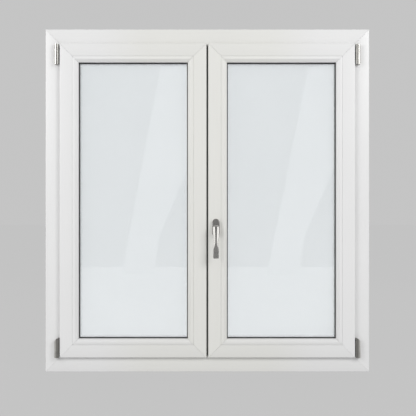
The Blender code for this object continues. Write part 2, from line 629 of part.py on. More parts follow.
def build_leaf(hand, side, turn, white, rubber, alloy, steel, glass):
    """Profiles, beads, double glazing, seals and hinge straps of one leaf."""
    edges = sorted((side * LEAF_MEETING_X, side * LEAF_OUTER_X))
    opening = (*edges, LEAF_BOTTOM, LEAF_TOP)
    stiles = ("hinge_stile", "meeting_stile") if side > 0 else ("meeting_stile", "hinge_stile")
    names = ("bottom_rail", stiles[0], "top_rail", stiles[1])
    for bar_side, name in enumerate(names):
        bar = mitred_bar(leaf_section(), opening, bar_side)
        if side > 0 and name == "meeting_stile":
            bar = cut(bar, *stile_pockets())
        add(f"{hand}_{name}", bar, white, turn)
    for bar_side, name in enumerate(("bottom", "right", "top", "left")):
        add(f"{hand}_bead_{name}", mitred_bar(bead_section(), opening, bar_side), white, turn)
    add(hand + "_inner_pane", pane(opening, INNER_PANE_Y), glass, turn)
    add(hand + "_outer_pane", pane(opening, OUTER_PANE_Y), glass, turn)
    spacer = rectangle(GLASS_INSET + GLASS_EDGE_SPACE, GLASS_INSET + GLASS_EDGE_SPACE + SPACER_HEIGHT,
                       INNER_PANE_Y + PANE_THICKNESS + TOUCH_GAP, OUTER_PANE_Y - TOUCH_GAP)
    add(hand + "_spacer", ring(spacer, opening), alloy, turn)
    add(hand + "_inner_gasket", ring(inner_gasket_section(), opening), rubber, turn)
    add(hand + "_outer_gasket", ring(outer_gasket_section(), opening), rubber, turn)
    add(hand + "_lip_seal", lip_seal(side, opening), rubber, turn)
    add(hand + "_upper_strap", upper_strap(side), steel, turn)
    add(hand + "_lower_strap", lower_strap(side), steel, turn)


# ---------------------------------------------------------------- floating mullion and bolts
def end_span(end, length):
    """Low and high of a length measured from the mullion's bottom (-1) or top (+1) end."""
    if end > 0:
        return MULLION_TOP - length, MULLION_TOP
    return MULLION_BOTTOM, MULLION_BOTTOM + length


def swept_x(y):
    """Nearest to the window's middle that the active leaf's body comes at this depth as it swings."""
    reach = hypot(HINGE_X - BODY_EDGE_X, LEAF_OUT_Y - HINGE_Y)
    return HINGE_X - sqrt(reach ** 2 - (y - HINGE_Y) ** 2)


def build_mullion(turn, white, rubber, steel):
    """Floating mullion on the left leaf, with its seal and the keepers for the lock cams."""
    section = outline((-BODY_EDGE_X + TOUCH_GAP, FRAME_ROOM_Y), (MULLION_FACE_X, FRAME_ROOM_Y, FINE_RADIUS),
                      (MULLION_FACE_X, STOP_Y), (MULLION_COVER_X, STOP_Y, FINE_RADIUS),
                      (MULLION_COVER_X, FRAME_OUT_Y, FRAME_EDGE_RADIUS),
                      (-MULLION_COVER_X, FRAME_OUT_Y, FRAME_EDGE_RADIUS),
                      (-MULLION_COVER_X, LEAF_OUT_Y + TOUCH_GAP, FINE_RADIUS),
                      (-BODY_EDGE_X + TOUCH_GAP, LEAF_OUT_Y + TOUCH_GAP))
    shape = along_z(section, MULLION_BOTTOM, MULLION_TOP)
    cover_bottom = FRAME_STOP + MULLION_COVER_END
    cover_y = LEAF_OUT_Y + TOUCH_GAP / 2
    cover_cutters = [block(-MULLION_COVER_X - CUT_MARGIN, MULLION_COVER_X + CUT_MARGIN,
                           cover_y, FRAME_OUT_Y + CUT_MARGIN, low, high)
                     for low, high in ((0, cover_bottom), (WINDOW_HEIGHT - cover_bottom, WINDOW_HEIGHT))]
    half_plate = PLATE_WIDTH / 2 + TOUCH_GAP
    groove_cutters = []
    for end in (-1, 1):
        low, high = end_span(end, BOLT_PLATE_LENGTH + TOUCH_GAP)
        if end > 0:
            high += CUT_MARGIN
        else:
            low -= CUT_MARGIN
        groove_cutters.append(block(BOLT_X - TOUCH_GAP, MULLION_FACE_X + CUT_MARGIN,
                                    HARDWARE_Y - half_plate, HARDWARE_Y + half_plate, low, high))
    add("mullion", cut(shape, *cover_cutters, *groove_cutters), white, turn)

    seal_middle = MULLION_COVER_X - STOP_OVERLAP / 2
    seal = outline((seal_middle - SEAL_WIDTH / 2, LEAF_OUT_Y + TOUCH_GAP, FINE_RADIUS),
                   (seal_middle + SEAL_WIDTH / 2, LEAF_OUT_Y + TOUCH_GAP, FINE_RADIUS),
                   (seal_middle + SEAL_WIDTH / 2, STOP_Y - TOUCH_GAP),
                   (seal_middle - SEAL_WIDTH / 2, STOP_Y - TOUCH_GAP))
    add("mullion_seal", along_z(seal, cover_bottom, WINDOW_HEIGHT - cover_bottom), rubber, turn)

    for name, height in zip(("cam_keeper_lower", "cam_keeper_upper"), CAM_HEIGHTS):
        low = height - CAM_HEAD_DIAMETER
        locked_top = height + CAM_HEAD_DIAMETER * KEEPER_HOOK_RISE
        base = block(KEEPER_X, KEEPER_X + KEEPER_THICKNESS, HARDWARE_Y - PLATE_WIDTH / 2,
                     HARDWARE_Y + PLATE_WIDTH / 2, low, low + KEEPER_HEIGHT)
        hook_y = HARDWARE_Y - PLATE_WIDTH / 2
        hook = block(KEEPER_X, swept_x(hook_y) - KEEPER_HOOK_SPACE, hook_y, hook_y + KEEPER_HOOK,
                     low, locked_top)
        add(name, join(base, hook), steel, turn)


def bolt_plate(end):
    """Face plate over a bolt, with the slot for its thumb knob."""
    low, high = end_span(end, BOLT_PLATE_LENGTH)
    plate = block(MULLION_FACE_X - PLATE_THICKNESS, MULLION_FACE_X, HARDWARE_Y - PLATE_WIDTH / 2,
                  HARDWARE_Y + PLATE_WIDTH / 2, low, high)
    knob_low, knob_high = sorted((knob_middle(end), knob_middle(end) - end * LOCK_TRAVEL))
    slot = block(MULLION_FACE_X - CUT_MARGIN, MULLION_FACE_X + CUT_MARGIN,
                 HARDWARE_Y - BOLT_KNOB_WIDTH / 2 - SLIDE_GAP, HARDWARE_Y + BOLT_KNOB_WIDTH / 2 + SLIDE_GAP,
                 knob_low - BOLT_KNOB_HEIGHT / 2 - SLIDE_GAP, knob_high + BOLT_KNOB_HEIGHT / 2 + SLIDE_GAP)
    return cut(plate, slot)


def knob_middle(end):
    """Height of a bolt's thumb knob while the bolt is shot."""
    edge = MULLION_TOP if end > 0 else MULLION_BOTTOM
    return edge - end * BOLT_KNOB_DISTANCE


def shoot_bolt(end):
    """Sliding bolt with its thumb knob, shot into the frame."""
    tip = (MULLION_TOP if end > 0 else MULLION_BOTTOM) + end * (MULLION_END_SPACE + BOLT_REACH - SLIDE_GAP)
    low, high = sorted((tip, tip - end * BOLT_LENGTH))
    rod = block(BOLT_X, BOLT_X + ROD_THICKNESS, HARDWARE_Y - ROD_WIDTH / 2, HARDWARE_Y + ROD_WIDTH / 2,
                low, high)
    middle = knob_middle(end)
    knob = block(BOLT_X + ROD_THICKNESS / 2, MULLION_FACE_X + BOLT_KNOB_PROUD,
                 HARDWARE_Y - BOLT_KNOB_WIDTH / 2, HARDWARE_Y + BOLT_KNOB_WIDTH / 2,
                 middle - BOLT_KNOB_HEIGHT / 2, middle + BOLT_KNOB_HEIGHT / 2)
    return join(rod, knob)


def build_bolts(turn, steel):
    """Two bolts that lock the left leaf, with their plates."""
    for end, word in ((-1, "lower"), (1, "upper")):
        add(f"bolt_plate_{word}", bolt_plate(end), steel, turn)
        middle = (BOLT_X, HARDWARE_Y, knob_middle(end))
        slide = pivot(f"{word}_bolt_slide", middle, turn)
        add(f"{word}_bolt", shoot_bolt(end), steel, slide)


# ---------------------------------------------------------------- lock and handle
def build_lock(turn, steel, alloy):
    """Gearbox, face plate and the drive rod with its cams, in the right leaf's stile."""
    half_plate = PLATE_WIDTH / 2
    gearbox = block(GEARBOX_X, GEARBOX_BACK_X, HARDWARE_Y - half_plate, HARDWARE_Y + half_plate,
                    HANDLE_HEIGHT - GEARBOX_HEIGHT / 2, HANDLE_HEIGHT + GEARBOX_HEIGHT / 2)
    follower_bore = along_y(circle(HANDLE_OFFSET, HANDLE_HEIGHT, FOLLOWER_DIAMETER / 2 + TOUCH_GAP),
                            HARDWARE_Y - half_plate - CUT_MARGIN, HARDWARE_Y + half_plate + CUT_MARGIN)
    add("gearbox", cut(gearbox, follower_bore), alloy, turn)

    plate_low = BODY_BOTTOM + CUT_MARGIN + TOUCH_GAP
    plate_high = BODY_TOP - CUT_MARGIN - TOUCH_GAP
    plate = block(BODY_EDGE_X, BODY_EDGE_X + PLATE_THICKNESS, HARDWARE_Y - half_plate,
                  HARDWARE_Y + half_plate, plate_low, plate_high)
    slot_half = CAM_PIN_DIAMETER / 2 + SLIDE_GAP
    slots = [block(BODY_EDGE_X - CUT_MARGIN, BODY_EDGE_X + CUT_MARGIN, HARDWARE_Y - slot_half,
                   HARDWARE_Y + slot_half, height - slot_half, height + LOCK_TRAVEL + slot_half)
             for height in CAM_HEIGHTS]
    add("lock_plate", cut(plate, *slots), steel, turn)

    slide = pivot("drive_rod_slide", (ROD_X, HARDWARE_Y, LEAF_MIDDLE), turn)
    rod = block(ROD_X, ROD_X + ROD_THICKNESS, HARDWARE_Y - ROD_WIDTH / 2, HARDWARE_Y + ROD_WIDTH / 2,
                LEAF_MIDDLE - ROD_LENGTH / 2, LEAF_MIDDLE + ROD_LENGTH / 2)
    cams = []
    for height in CAM_HEIGHTS:
        cams.append(along_x(circle(HARDWARE_Y, height, CAM_PIN_DIAMETER / 2, CAM_PIN_STEPS),
                            CAM_TIP_X + TOUCH_GAP, ROD_X + ROD_THICKNESS / 2))
        cams.append(along_x(circle(HARDWARE_Y, height, CAM_HEAD_DIAMETER / 2, CAM_HEAD_STEPS),
                            CAM_TIP_X, CAM_TIP_X + CAM_HEAD_THICKNESS))
    add("drive_rod", join(rod, *cams), steel, slide)


def rosette():
    """Oval cover plate behind the lever, with an eased edge."""
    half = ROSETTE_WIDTH / 2
    loops = []
    for y, inset in ((LEAF_ROOM_Y - TOUCH_GAP, 0), (ROSETTE_Y + ROSETTE_EDGE, 0),
                     (ROSETTE_Y + ROSETTE_EDGE / 4, ROSETTE_EDGE * 3 / 8), (ROSETTE_Y, ROSETTE_EDGE)):
        radius = half - inset
        straight = ROSETTE_HEIGHT / 2 - half
        loop = []
        for end in (1, -1):
            for step in range(ROSETTE_STEPS + 1):
                turn = pi * step / ROSETTE_STEPS
                loop.append((HANDLE_OFFSET + end * radius * cos(turn), y,
                             HANDLE_HEIGHT + end * (straight + radius * sin(turn))))
        loops.append(loop)
    bore = along_y(circle(HANDLE_OFFSET, HANDLE_HEIGHT, SPINDLE_SIZE * SPINDLE_HOLE_SHARE),
                   ROSETTE_Y - CUT_MARGIN, LEAF_ROOM_Y + CUT_MARGIN)
    return cut(skin(loops), bore)


def lever_loops():
    """Cross sections of the lever, from the hub out, round the bend and down the grip."""
    bend_radius = HUB_DIAMETER / 2
    stations = [(HUB_Y, 0, 0, HUB_DIAMETER, HUB_DIAMETER, 1.0),
                (GRIP_Y + bend_radius + HUB_COLLAR, 0, 0, HUB_DIAMETER, HUB_DIAMETER, 1.0)]
    for step in range(1, BEND_STEPS + 1):
        share = step / BEND_STEPS
        turn = radians(90) * share
        width = HUB_DIAMETER + (LEVER_NECK_WIDTH - HUB_DIAMETER) * share
        thickness = HUB_DIAMETER + (LEVER_THICKNESS - HUB_DIAMETER) * share
        stations.append((GRIP_Y + bend_radius * (1 - sin(turn)), -bend_radius * (1 - cos(turn)), turn,
                         width, thickness, 1.0 - BEND_SQUARENESS * share))
    grip_top = LEVER_LENGTH - LEVER_GRIP_LENGTH
    down = radians(90)
    # Down the lever: distance below the hub, width, thickness and squareness of each section.
    for drop, width, thickness, squareness in (
            (grip_top * 0.45, (LEVER_NECK_WIDTH + LEVER_SHANK_WIDTH) / 2, LEVER_THICKNESS, 0.65),
            (grip_top * 0.75, LEVER_SHANK_WIDTH, LEVER_THICKNESS, 0.6),
            (grip_top, (LEVER_SHANK_WIDTH + LEVER_GRIP_WIDTH) / 2, LEVER_THICKNESS, 0.5),
            (grip_top + GRIP_SPREAD, LEVER_GRIP_WIDTH, LEVER_THICKNESS, 0.45),
            (LEVER_LENGTH - GRIP_END_LENGTH, LEVER_GRIP_WIDTH, LEVER_THICKNESS, 0.45),
            (LEVER_LENGTH, LEVER_GRIP_WIDTH - GRIP_END_EASE, LEVER_THICKNESS - GRIP_END_EASE, 0.45)):
        stations.append((GRIP_Y, -drop, down, width, thickness, squareness))
    return [lever_section(*station) for station in stations]


def lever_section(y, drop, turn, width, thickness, squareness, steps=20):
    """Rounded section of the lever, square to its path; squareness 1 is an ellipse."""
    loop = []
    for step in range(steps):
        angle = 2 * pi * step / steps
        across = width / 2 * abs(cos(angle)) ** squareness * (1 if cos(angle) >= 0 else -1)
        through = thickness / 2 * abs(sin(angle)) ** squareness * (1 if sin(angle) >= 0 else -1)
        loop.append((HANDLE_OFFSET + across, y - through * sin(turn),
                     HANDLE_HEIGHT + drop + through * cos(turn)))
    return loop


def build_handle(turn, steel, nickel):
    """Rosette on the leaf, and the lever with its spindle and the gearbox follower."""
    add("handle_rosette", rosette(), nickel, turn)
    handle = pivot("handle_turn", (HANDLE_OFFSET, HUB_Y, HANDLE_HEIGHT), turn)
    half = SPINDLE_SIZE / 2
    spindle_room = HUB_Y - SPINDLE_SEAT
    spindle_out = HARDWARE_Y + PLATE_WIDTH / 2 - TOUCH_GAP
    square = rectangle(HANDLE_OFFSET - half, HANDLE_OFFSET + half,
                       HANDLE_HEIGHT - half, HANDLE_HEIGHT + half)
    hole_half = half + TOUCH_GAP
    hole = rectangle(HANDLE_OFFSET - hole_half, HANDLE_OFFSET + hole_half,
                     HANDLE_HEIGHT - hole_half, HANDLE_HEIGHT + hole_half)
    socket = along_y(hole, spindle_room - TOUCH_GAP, HUB_Y + CUT_MARGIN)
    add("handle_lever", cut(skin(lever_loops()), socket), nickel, handle)
    add("handle_spindle", along_y(square, spindle_room, spindle_out), steel, handle)
    follower = along_y(circle(HANDLE_OFFSET, HANDLE_HEIGHT, FOLLOWER_DIAMETER / 2),
                       HARDWARE_Y - PLATE_WIDTH / 2 + TOUCH_GAP, spindle_out)
    through = along_y(hole, HARDWARE_Y - PLATE_WIDTH, HARDWARE_Y + PLATE_WIDTH)
    add("lock_follower", cut(follower, through), steel, handle)


# ---------------------------------------------------------------- whole window
def build():
    """The whole window."""
    for leftover in list(bpy.data.objects):
        bpy.data.objects.remove(leftover)
    white = material("white_profile", (0.80, 0.80, 0.78), 0.35)
    rubber = material("black_rubber", (0.02, 0.02, 0.02), 0.7)
    nickel = material("satin_nickel", (0.42, 0.41, 0.39), 0.32, 1.0)
    steel = material("zinc_steel", (0.55, 0.56, 0.57), 0.35, 1.0)
    alloy = material("spacer_alloy", (0.60, 0.61, 0.62), 0.4, 1.0)
    glass = material("clear_glass", (0.95, 0.98, 0.97), 0.02, 0.0, 1.0)
    build_frame(white, rubber, steel)
    build_frame_hinges(nickel)
    for hand, side in (("left", -1), ("right", 1)):
        turn = pivot(hand + "_leaf_turn", (side * HINGE_X, HINGE_Y, LEAF_MIDDLE))
        build_leaf(hand, side, turn, white, rubber, alloy, nickel, glass)
        if side < 0:
            build_mullion(turn, white, rubber, steel)
            build_bolts(turn, steel)
        else:
            build_lock(turn, steel, alloy)
            build_handle(turn, steel, nickel)


build()
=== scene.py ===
import json
import math
import random

import bmesh
import bpy
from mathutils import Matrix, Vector

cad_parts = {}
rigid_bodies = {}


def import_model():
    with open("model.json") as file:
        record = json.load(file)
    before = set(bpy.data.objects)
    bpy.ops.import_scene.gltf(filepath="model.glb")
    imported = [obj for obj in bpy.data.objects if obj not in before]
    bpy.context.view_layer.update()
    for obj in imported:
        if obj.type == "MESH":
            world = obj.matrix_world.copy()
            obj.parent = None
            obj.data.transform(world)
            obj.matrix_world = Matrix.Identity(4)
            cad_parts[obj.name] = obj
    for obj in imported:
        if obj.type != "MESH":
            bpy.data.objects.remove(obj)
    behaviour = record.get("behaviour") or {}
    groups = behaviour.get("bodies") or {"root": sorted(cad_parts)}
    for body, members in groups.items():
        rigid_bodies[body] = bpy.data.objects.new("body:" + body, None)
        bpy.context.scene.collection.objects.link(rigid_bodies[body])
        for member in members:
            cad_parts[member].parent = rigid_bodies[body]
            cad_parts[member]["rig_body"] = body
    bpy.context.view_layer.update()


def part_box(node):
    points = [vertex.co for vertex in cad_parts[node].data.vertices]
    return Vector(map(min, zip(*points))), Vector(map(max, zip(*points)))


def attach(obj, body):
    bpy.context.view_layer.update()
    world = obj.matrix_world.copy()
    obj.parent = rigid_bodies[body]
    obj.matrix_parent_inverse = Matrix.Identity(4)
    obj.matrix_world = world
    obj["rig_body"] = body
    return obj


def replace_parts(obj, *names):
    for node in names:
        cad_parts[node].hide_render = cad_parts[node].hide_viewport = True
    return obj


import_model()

# ---------------------------------------------------------------- sizes and places
ROOM_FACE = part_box("frame_sill")[0].y
WINDOW_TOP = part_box("frame_head")[1].z
WINDOW_MIDDLE_Z = WINDOW_TOP / 2

WELD = 0.00001
FLAT_ANGLE = math.radians(1)
SHARP_ANGLE = math.radians(32)
PROFILE_EASE = 0.0006
METAL_EASE = 0.0004
THIN_EASE = 0.0002

rng = random.Random(7)


# ---------------------------------------------------------------- node helpers
def put(tree, kind, inputs=None, **settings):
    """A new node with its settings and its inputs linked or set."""
    node = tree.nodes.new(kind)
    for name, value in settings.items():
        setattr(node, name, value)
    for name, value in (inputs or {}).items():
        if isinstance(value, bpy.types.NodeSocket):
            tree.links.new(value, node.inputs[name])
        else:
            node.inputs[name].default_value = value
    return node


def sums(tree, operation, first, second=0.0, clamp=False):
    """The result of one arithmetic step."""
    return put(tree, "ShaderNodeMath", {0: first, 1: second}, operation=operation,
               use_clamp=clamp).outputs[0]


def mixed(tree, share, first, second):
    """Two colours mixed by a share."""
    return put(tree, "ShaderNodeMix", {0: share, 6: first, 7: second}, data_type="RGBA").outputs[2]


def ranged(tree, value, low, high, out_low=0.0, out_high=1.0):
    """A value carried from one range to another and held inside it."""
    return put(tree, "ShaderNodeMapRange",
               {0: value, 1: low, 2: high, 3: out_low, 4: out_high}).outputs[0]


def noise(tree, vector, scale, detail=3.0, roughness=0.5):
    return put(tree, "ShaderNodeTexNoise", {"Vector": vector, "Scale": scale, "Detail": detail,
                                            "Roughness": roughness}).outputs[0]


def scaled(tree, vector, factors):
    return put(tree, "ShaderNodeVectorMath", {0: vector, 1: factors}, operation="MULTIPLY").outputs[0]


def new_group(name, inputs, outputs):
    """An empty shader group with named sockets: its tree, its inputs and its output node."""
    tree = bpy.data.node_groups.new(name, "ShaderNodeTree")
    kinds = {"f": "NodeSocketFloat", "c": "NodeSocketColor", "v": "NodeSocketVector"}
    for socket_name, kind, value in inputs:
        socket = tree.interface.new_socket(socket_name, in_out="INPUT", socket_type=kinds[kind])
        if value is not None:
            socket.default_value = value
    for socket_name, kind in outputs:
        tree.interface.new_socket(socket_name, in_out="OUTPUT", socket_type=kinds[kind])
    return tree, tree.nodes.new("NodeGroupInput").outputs, tree.nodes.new("NodeGroupOutput")


def send(tree, end, **results):
    for name, value in results.items():
        tree.links.new(value, end.inputs[name])


# ---------------------------------------------------------------- shared effects
def grain_group():
    """Fine drawn lines along a stretched direction, broad tone drift and a speckle of dust."""
    tree, given, end = new_group(
        "drawn_grain",
        [("Place", "v", None), ("Stretch", "v", (1.0, 1.0, 0.02)), ("Colour", "c", (1, 1, 1, 1)),
         ("Dark Colour", "c", (0.8, 0.8, 0.8, 1)), ("Line Scale", "f", 900.0), ("Line Share", "f", 0.2),
         ("Drift Share", "f", 0.2), ("Dust Share", "f", 0.3), ("Roughness", "f", 0.4),
         ("Roughness Spread", "f", 0.08)],
        [("Colour", "c"), ("Roughness", "f"), ("Height", "f"), ("Dust", "f")])
    lines = noise(tree, scaled(tree, given["Place"], given["Stretch"]), given["Line Scale"], 2.0)
    drift = noise(tree, given["Place"], 3.2, 3.0)
    fleck = noise(tree, given["Place"], 420.0, 1.0, 0.4)
    patch = noise(tree, given["Place"], 11.0, 4.0, 0.6)
    dust = sums(tree, "MULTIPLY", ranged(tree, fleck, 0.68, 0.76), ranged(tree, patch, 0.42, 0.7))
    shade = sums(tree, "MULTIPLY", ranged(tree, lines, 0.3, 0.7), given["Line Share"])
    tone = sums(tree, "MULTIPLY", ranged(tree, drift, 0.35, 0.65), given["Drift Share"])
    colour = mixed(tree, sums(tree, "ADD", shade, tone, True), given["Colour"], given["Dark Colour"])
    dusty = sums(tree, "MULTIPLY", dust, given["Dust Share"])
    colour = mixed(tree, dusty, colour, given["Dark Colour"])
    swing = sums(tree, "MULTIPLY", sums(tree, "SUBTRACT", patch, 0.5), given["Roughness Spread"])
    rough = sums(tree, "ADD", sums(tree, "ADD", given["Roughness"], swing),
                 sums(tree, "MULTIPLY", dusty, 0.3), True)
    height = sums(tree, "SUBTRACT", lines, sums(tree, "MULTIPLY", dust, 0.5))
    send(tree, end, Colour=colour, Roughness=rough, Height=height, Dust=dust)
    return tree


def rub_group():
    """Cloudy patches where hands and cloths have rubbed a surface, as a mask and a roughness."""
    tree, given, end = new_group(
        "rubbed_patches",
        [("Place", "v", None), ("Scale", "f", 14.0), ("Low", "f", 0.5), ("High", "f", 0.75),
         ("Roughness", "f", 0.3), ("Rubbed Roughness", "f", 0.45)],
        [("Mask", "f"), ("Roughness", "f")])
    cloud = noise(tree, given["Place"], given["Scale"], 5.0, 0.62)
    streak = noise(tree, scaled(tree, given["Place"], (5.0, 5.0, 1.0)), given["Scale"], 3.0)
    mask = put(tree, "ShaderNodeMapRange", {0: sums(tree, "ADD", sums(tree, "MULTIPLY", cloud, 0.7),
                                                   sums(tree, "MULTIPLY", streak, 0.3)),
                                            1: given["Low"], 2: given["High"]}).outputs[0]
    rough = put(tree, "ShaderNodeMapRange", {0: mask, 1: 0.0, 2: 1.0, 3: given["Roughness"],
                                             4: given["Rubbed Roughness"]}).outputs[0]
    send(tree, end, Mask=mask, Roughness=rough)
    return tree


def spangle_group():
    """Crystal patches of a zinc or cast surface."""
    tree, given, end = new_group(
        "crystal_spangle",
        [("Place", "v", None), ("Scale", "f", 260.0), ("Colour", "c", (1, 1, 1, 1)),
         ("Second Colour", "c", (0.6, 0.6, 0.6, 1)), ("Roughness", "f", 0.4)],
        [("Colour", "c"), ("Roughness", "f"), ("Height", "f")])
    cells = put(tree, "ShaderNodeTexVoronoi", {"Vector": given["Place"], "Scale": given["Scale"]})
    grey = put(tree, "ShaderNodeSeparateColor", {0: cells.outputs["Color"]}).outputs[0]
    cloud = noise(tree, given["Place"], 35.0, 4.0)
    share = sums(tree, "MULTIPLY", grey, ranged(tree, cloud, 0.3, 0.7), True)
    rough = sums(tree, "ADD", given["Roughness"], sums(tree, "MULTIPLY", grey, 0.16), True)
    send(tree, end, Colour=mixed(tree, share, given["Colour"], given["Second Colour"]), Roughness=rough,
         Height=cells.outputs["Distance"])
    return tree


def painted_shade_across_group():
    """A colour that changes with the distance from the window's middle line, alike on both sides; it
    paints shade, the middle colour being the shaded one.
    """
    tree, given, end = new_group(
        "painted_shade_across",
        [("Place", "v", None), ("Middle Colour", "c", (1, 1, 1, 1)), ("Edge Colour", "c", (1, 1, 1, 1)),
         ("Near", "f", 0.2), ("Far", "f", 0.45)],
        [("Colour", "c"), ("Share", "f")])
    parts = put(tree, "ShaderNodeSeparateXYZ", {0: given["Place"]})
    away = sums(tree, "ABSOLUTE", parts.outputs["X"])
    share = put(tree, "ShaderNodeMapRange", {0: away, 1: given["Near"], 2: given["Far"]},
                interpolation_type="SMOOTHSTEP").outputs[0]
    send(tree, end, Colour=mixed(tree, share, given["Middle Colour"], given["Edge Colour"]), Share=share)
    return tree


GRAIN = grain_group()
SHADE_ACROSS = painted_shade_across_group()
RUB = rub_group()
SPANGLE = spangle_group()


def effect(tree, group, **inputs):
    """A shared effect put into a material; underscores in the names stand for spaces."""
    node = tree.nodes.new("ShaderNodeGroup")
    node.node_tree = group
    for name, value in inputs.items():
        socket = node.inputs[name.replace("_", " ")]
        if isinstance(value, bpy.types.NodeSocket):
            tree.links.new(value, socket)
        else:
            socket.default_value = value
    return node.outputs


def new_material(name):
    """A material with its tree, its surface shader and the piece's own coordinates."""
    made = bpy.data.materials.new(name)
    made.use_nodes = True
    tree = made.node_tree
    shader = next(n for n in tree.nodes if n.type == "BSDF_PRINCIPLED")
    place = tree.nodes.new("ShaderNodeTexCoord").outputs["Object"]
    return made, tree, shader, place


def bump(tree, shader, height, distance, strength=1.0):
    node = put(tree, "ShaderNodeBump", {"Height": height, "Distance": distance, "Strength": strength})
    tree.links.new(node.outputs[0], shader.inputs["Normal"])


# ---------------------------------------------------------------- materials
UPRIGHT, LEVEL = (1.0, 1.0, 0.015), (0.015, 1.0, 1.0)


def profile_material(name, edge, middle, stretch):
    """White profile with painted shade: lighter and cooler at the window's sides, darker and warmer
    towards its middle, where less light falls.
    """
    made, tree, shader, place = new_material(name)
    # painted shade: the profile darker and warmer towards the window's middle
    tone = effect(tree, SHADE_ACROSS, Place=place, Middle_Colour=middle, Edge_Colour=edge, Near=0.22, Far=0.46)
    dark = mixed(tree, 0.12, tone["Colour"], (0.0, 0.0, 0.0, 1))
    grain = effect(tree, GRAIN, Place=place, Stretch=stretch, Colour=tone["Colour"], Dark_Colour=dark,
                   Line_Scale=700.0, Line_Share=0.14, Drift_Share=0.12, Dust_Share=0.35, Roughness=0.36,
                   Roughness_Spread=0.12)
    rub = effect(tree, RUB, Place=place, Scale=9.0, Low=0.5, High=0.72, Roughness=grain["Roughness"],
                 Rubbed_Roughness=0.3)
    tree.links.new(grain["Colour"], shader.inputs["Base Color"])
    tree.links.new(rub["Roughness"], shader.inputs["Roughness"])
    shader.inputs["IOR"].default_value = 1.45
    bump(tree, shader, grain["Height"], 0.00002, 0.6)
    return made


def rubber_material():
    made, tree, shader, place = new_material("black_rubber_finish")
    grain = effect(tree, GRAIN, Place=place, Stretch=(1.0, 1.0, 1.0), Colour=(0.036, 0.037, 0.037, 1),
                   Dark_Colour=(0.075, 0.075, 0.072, 1), Line_Scale=500.0, Line_Share=0.3,
                   Drift_Share=0.2, Dust_Share=0.5, Roughness=0.6, Roughness_Spread=0.2)
    tree.links.new(grain["Colour"], shader.inputs["Base Color"])
    tree.links.new(grain["Roughness"], shader.inputs["Roughness"])
    bump(tree, shader, grain["Height"], 0.00003)
    return made


def metal_material(name, colour, dark, stretch, roughness, lines=1400.0):
    made, tree, shader, place = new_material(name)
    grain = effect(tree, GRAIN, Place=place, Stretch=stretch, Colour=colour, Dark_Colour=dark,
                   Line_Scale=lines, Line_Share=0.35, Drift_Share=0.15, Dust_Share=0.1,
                   Roughness=roughness, Roughness_Spread=0.1)
    rub = effect(tree, RUB, Place=place, Scale=38.0, Low=0.48, High=0.7, Roughness=grain["Roughness"],
                 Rubbed_Roughness=roughness + 0.12)
    tree.links.new(grain["Colour"], shader.inputs["Base Color"])
    tree.links.new(rub["Roughness"], shader.inputs["Roughness"])
    shader.inputs["Metallic"].default_value = 1.0
    bump(tree, shader, grain["Height"], 0.000015, 0.5)
    return made


def hinge_painted_shade_material(name, inner, outer, roughness, axis_x):
    """Brushed metal with painted shade on the half towards the window's middle, standing in for the
    darker reflection on the barrel's side that faces the leaf.
    """
    made = metal_material(name, outer, inner, (1.0, 1.0, 0.03), roughness)
    tree = made.node_tree
    shader = next(n for n in tree.nodes if n.type == "BSDF_PRINCIPLED")
    grain = next(n for n in tree.nodes if n.type == "GROUP" and n.node_tree == GRAIN)
    place = next(n for n in tree.nodes if n.type == "TEX_COORD").outputs["Object"]
    # painted shade: the half towards the window's middle is darker
    tone = effect(tree, SHADE_ACROSS, Place=place, Middle_Colour=inner, Edge_Colour=outer, Near=axis_x - 0.003,
                  Far=axis_x + 0.003)
    tree.links.new(tone["Colour"], grain.inputs["Colour"])
    return made


def crystal_material(name, colour, second, scale, roughness):
    made, tree, shader, place = new_material(name)
    crystal = effect(tree, SPANGLE, Place=place, Scale=scale, Colour=colour, Second_Colour=second,
                     Roughness=roughness)
    tree.links.new(crystal["Colour"], shader.inputs["Base Color"])
    tree.links.new(crystal["Roughness"], shader.inputs["Roughness"])
    shader.inputs["Metallic"].default_value = 1.0
    bump(tree, shader, crystal["Height"], 0.00004, 0.5)
    return made


def glass_material():
    made, tree, shader, place = new_material("clear_glass_finish")
    rub = effect(tree, RUB, Place=place, Scale=3.0, Low=0.45, High=0.8, Roughness=0.015,
                 Rubbed_Roughness=0.05)
    grain = effect(tree, GRAIN, Place=place, Stretch=(1.0, 1.0, 1.0), Colour=GLASS_TINT,
                   Dark_Colour=GLASS_DUST, Line_Scale=90.0, Line_Share=0.04, Drift_Share=0.1,
                   Dust_Share=0.1, Roughness=0.02, Roughness_Spread=0.02)
    tree.links.new(grain["Colour"], shader.inputs["Base Color"])
    tree.links.new(rub["Roughness"], shader.inputs["Roughness"])
    shader.inputs["Transmission Weight"].default_value = GLASS_CLEAR
    shader.inputs["IOR"].default_value = 1.5
    shader.inputs["Coat Weight"].default_value = 0.7
    shader.inputs["Coat IOR"].default_value = 1.9
    shader.inputs["Coat Roughness"].default_value = 0.01
    return made


GLASS_TINT = (0.965, 0.985, 0.99, 1)
GLASS_DUST = (0.90, 0.93, 0.94, 1)
GLASS_CLEAR = 0.93

WHITE_UPRIGHT = profile_material("white_profile_upright", (0.86, 0.86, 0.86, 1),
                                 (0.825, 0.823, 0.788, 1), UPRIGHT)
WHITE_LEVEL = profile_material("white_profile_level", (0.83, 0.83, 0.828, 1),
                               (0.797, 0.795, 0.766, 1), LEVEL)
